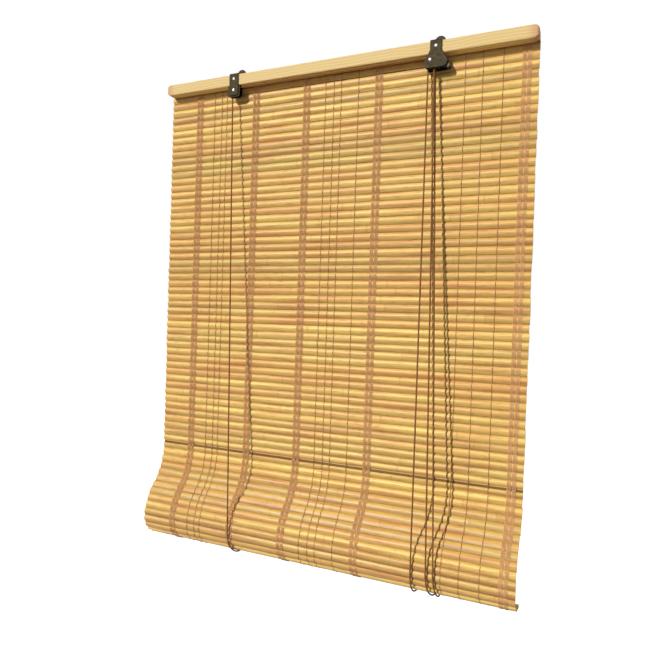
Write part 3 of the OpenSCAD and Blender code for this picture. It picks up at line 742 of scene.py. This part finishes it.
# Pressed pieces and the rail: copies of the solids with their cut edges rounded over
softEdges = {"left_strap": ("bronzed_steel", 0.35 * mm), "lock_strap": ("bronzed_steel", 0.35 * mm),
             "left_saddle": ("bronzed_steel", 0.25 * mm), "lock_saddle": ("bronzed_steel", 0.25 * mm),
             "headrail": ("pine", 0.5 * mm)}
railEnd = {"radius": 7.0 * mm, "steps": 7}
rounding = {"merge": 2e-6, "flatDeg": 0.5, "sharpDeg": 40, "segments": 3, "shadeDeg": 50}


# rounds the rail's two ends off towards its top and underside
def roundEnds(bm, name, radius, steps):
    low, high = (Vector(c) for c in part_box(name))
    middle, half = (low + high) / 2, (high - low) / 2
    for i in range(steps):
        x = half.x - radius * (1 - math.sin(math.pi / 2 * i / steps))
        for end in (-x, x):
            cutAcross(bm, middle.x + end)
    for v in bm.verts:
        past = abs(v.co.x - middle.x) - (half.x - radius)
        if past > 0:
            share = (half.z - radius + math.sqrt(max(0.0, radius ** 2 - past ** 2))) / half.z
            v.co.z = middle.z + (v.co.z - middle.z) * share


def softenedCopy(name, edge):
    bm = bmesh.new()
    bm.from_mesh(nodes[name].data)
    bmesh.ops.remove_doubles(bm, verts=bm.verts[:], dist=rounding["merge"])
    bmesh.ops.dissolve_limit(bm, angle_limit=math.radians(rounding["flatDeg"]),
                             verts=bm.verts[:], edges=bm.edges[:])
    if name == "headrail":
        roundEnds(bm, name, railEnd["radius"], railEnd["steps"])
    corner = math.radians(rounding["sharpDeg"])
    sharp = [e for e in bm.edges if len(e.link_faces) == 2 and e.calc_face_angle() > corner]
    bmesh.ops.bevel(bm, geom=sharp, offset=edge, offset_type="OFFSET", segments=rounding["segments"],
                    profile=0.5, affect="EDGES", clamp_overlap=True, material=-1)
    bmesh.ops.recalc_face_normals(bm, faces=bm.faces[:])
    for f in bm.faces:
        f.smooth = True
    data = bpy.data.meshes.new(name + "_softened")
    bm.to_mesh(data)
    bm.free()
    data.set_sharp_from_angle(angle=math.radians(rounding["shadeDeg"]))
    piece = newPiece(name + "_softened", data, "blind", [cadFinishes[name]])
    even = piece.modifiers.new("even normals", "WEIGHTED_NORMAL")  # flat faces stay flat
    even.keep_sharp = True
    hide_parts(name)


for name, (slot, edge) in softEdges.items():
    softenedCopy(name, edge)
print("edges softened")

# Stage: pale floor far below the hung blind, a lamp from the upper left, a softer one behind, and an
# even white surround
stage = {"floorZ": -2.2, "floorSize": 60.0, "floorLift": 0.46, "lampFrom": (-24.0, 25.0),
         "lampStrength": 3.35, "lampSpread": 0.8, "floorSeen": "#f4f4f2", "floorDim": "#8c8c88",
         "backLampFrom": (160.0, 40.0), "backLampStrength": 1.3, "backLampSpread": 12.0,
         "lampDistance": 3.0, "surround": 0.18}


# 1 where the background is looked at, straight or in a reflection, and 0 where it only lights the blind
def lookedAt(tree):
    path = addNode(tree, "ShaderNodeLightPath")
    seen = addNode(tree, "ShaderNodeMath", {"operation": "ADD"},
                   {0: path.outputs["Is Camera Ray"], 1: path.outputs["Is Glossy Ray"]})
    shown = addNode(tree, "ShaderNodeMath", {"operation": "ADD", "use_clamp": True},
                    {0: seen.outputs["Value"], 1: path.outputs["Is Transmission Ray"]})
    return shown.outputs["Value"]


def layFloor():
    made, tree = newMaterial("pale floor")
    shown = lookedAt(tree)
    lift = addNode(tree, "ShaderNodeMath", {"operation": "MULTIPLY", 1: stage["floorLift"]}, {0: shown})
    pale = addNode(tree, "ShaderNodeMix",
                   {"data_type": "RGBA", 6: toLinear(stage["floorDim"]),
                    7: toLinear(stage["floorSeen"])},
                   {0: shown})
    shader = addNode(tree, "ShaderNodeBsdfPrincipled",
                     {"Roughness": 0.9, "Specular IOR Level": 0.1, "Emission Color": (1, 1, 1, 1)},
                     {"Base Color": pale.outputs[2], "Emission Strength": lift.outputs["Value"]})
    addNode(tree, "ShaderNodeOutputMaterial", {}, {"Surface": shader.outputs["BSDF"]})
    bm = bmesh.new()
    bmesh.ops.create_grid(bm, x_segments=2, y_segments=2, size=stage["floorSize"] / 2)
    bmesh.ops.translate(bm, verts=bm.verts[:], vec=(0, 0, stage["floorZ"]))
    data = bpy.data.meshes.new("floor")
    bm.to_mesh(data)
    bm.free()
    data.materials.append(made)
    floor = bpy.data.objects.new("floor", data)
    bpy.context.scene.collection.objects.link(floor)


def hangLamp(name, place, strength, spread):
    sideways, height = (math.radians(a) for a in place)
    level = math.cos(height)
    towards = Vector((math.sin(sideways) * level, -math.cos(sideways) * level, math.sin(height)))
    sun = bpy.data.lights.new(name, "SUN")
    sun.energy = strength
    sun.angle = math.radians(spread)
    lamp = bpy.data.objects.new(name, sun)
    lamp.rotation_euler = towards.to_track_quat("Z", "Y").to_euler()
    lamp.location = towards * stage["lampDistance"]
    bpy.context.scene.collection.objects.link(lamp)


def lightSurround():
    world = bpy.data.worlds.new("surround")
    bpy.context.scene.world = world
    world.use_nodes = True
    tree = world.node_tree
    tree.nodes.clear()
    level = addNode(tree, "ShaderNodeMapRange", {"To Min": stage["surround"], "To Max": 1.0},
                    {"Value": lookedAt(tree)})
    glow = addNode(tree, "ShaderNodeBackground", {"Color": (1, 1, 1, 1)},
                   {"Strength": level.outputs["Result"]})
    addNode(tree, "ShaderNodeOutputWorld", {}, {"Surface": glow.outputs["Background"]})


layFloor()
hangLamp("front lamp", stage["lampFrom"], stage["lampStrength"], stage["lampSpread"])
hangLamp("back lamp", stage["backLampFrom"], stage["backLampStrength"], stage["backLampSpread"])
lightSurround()
bpy.context.scene.view_settings.view_transform = "Standard"
print("stage lit")
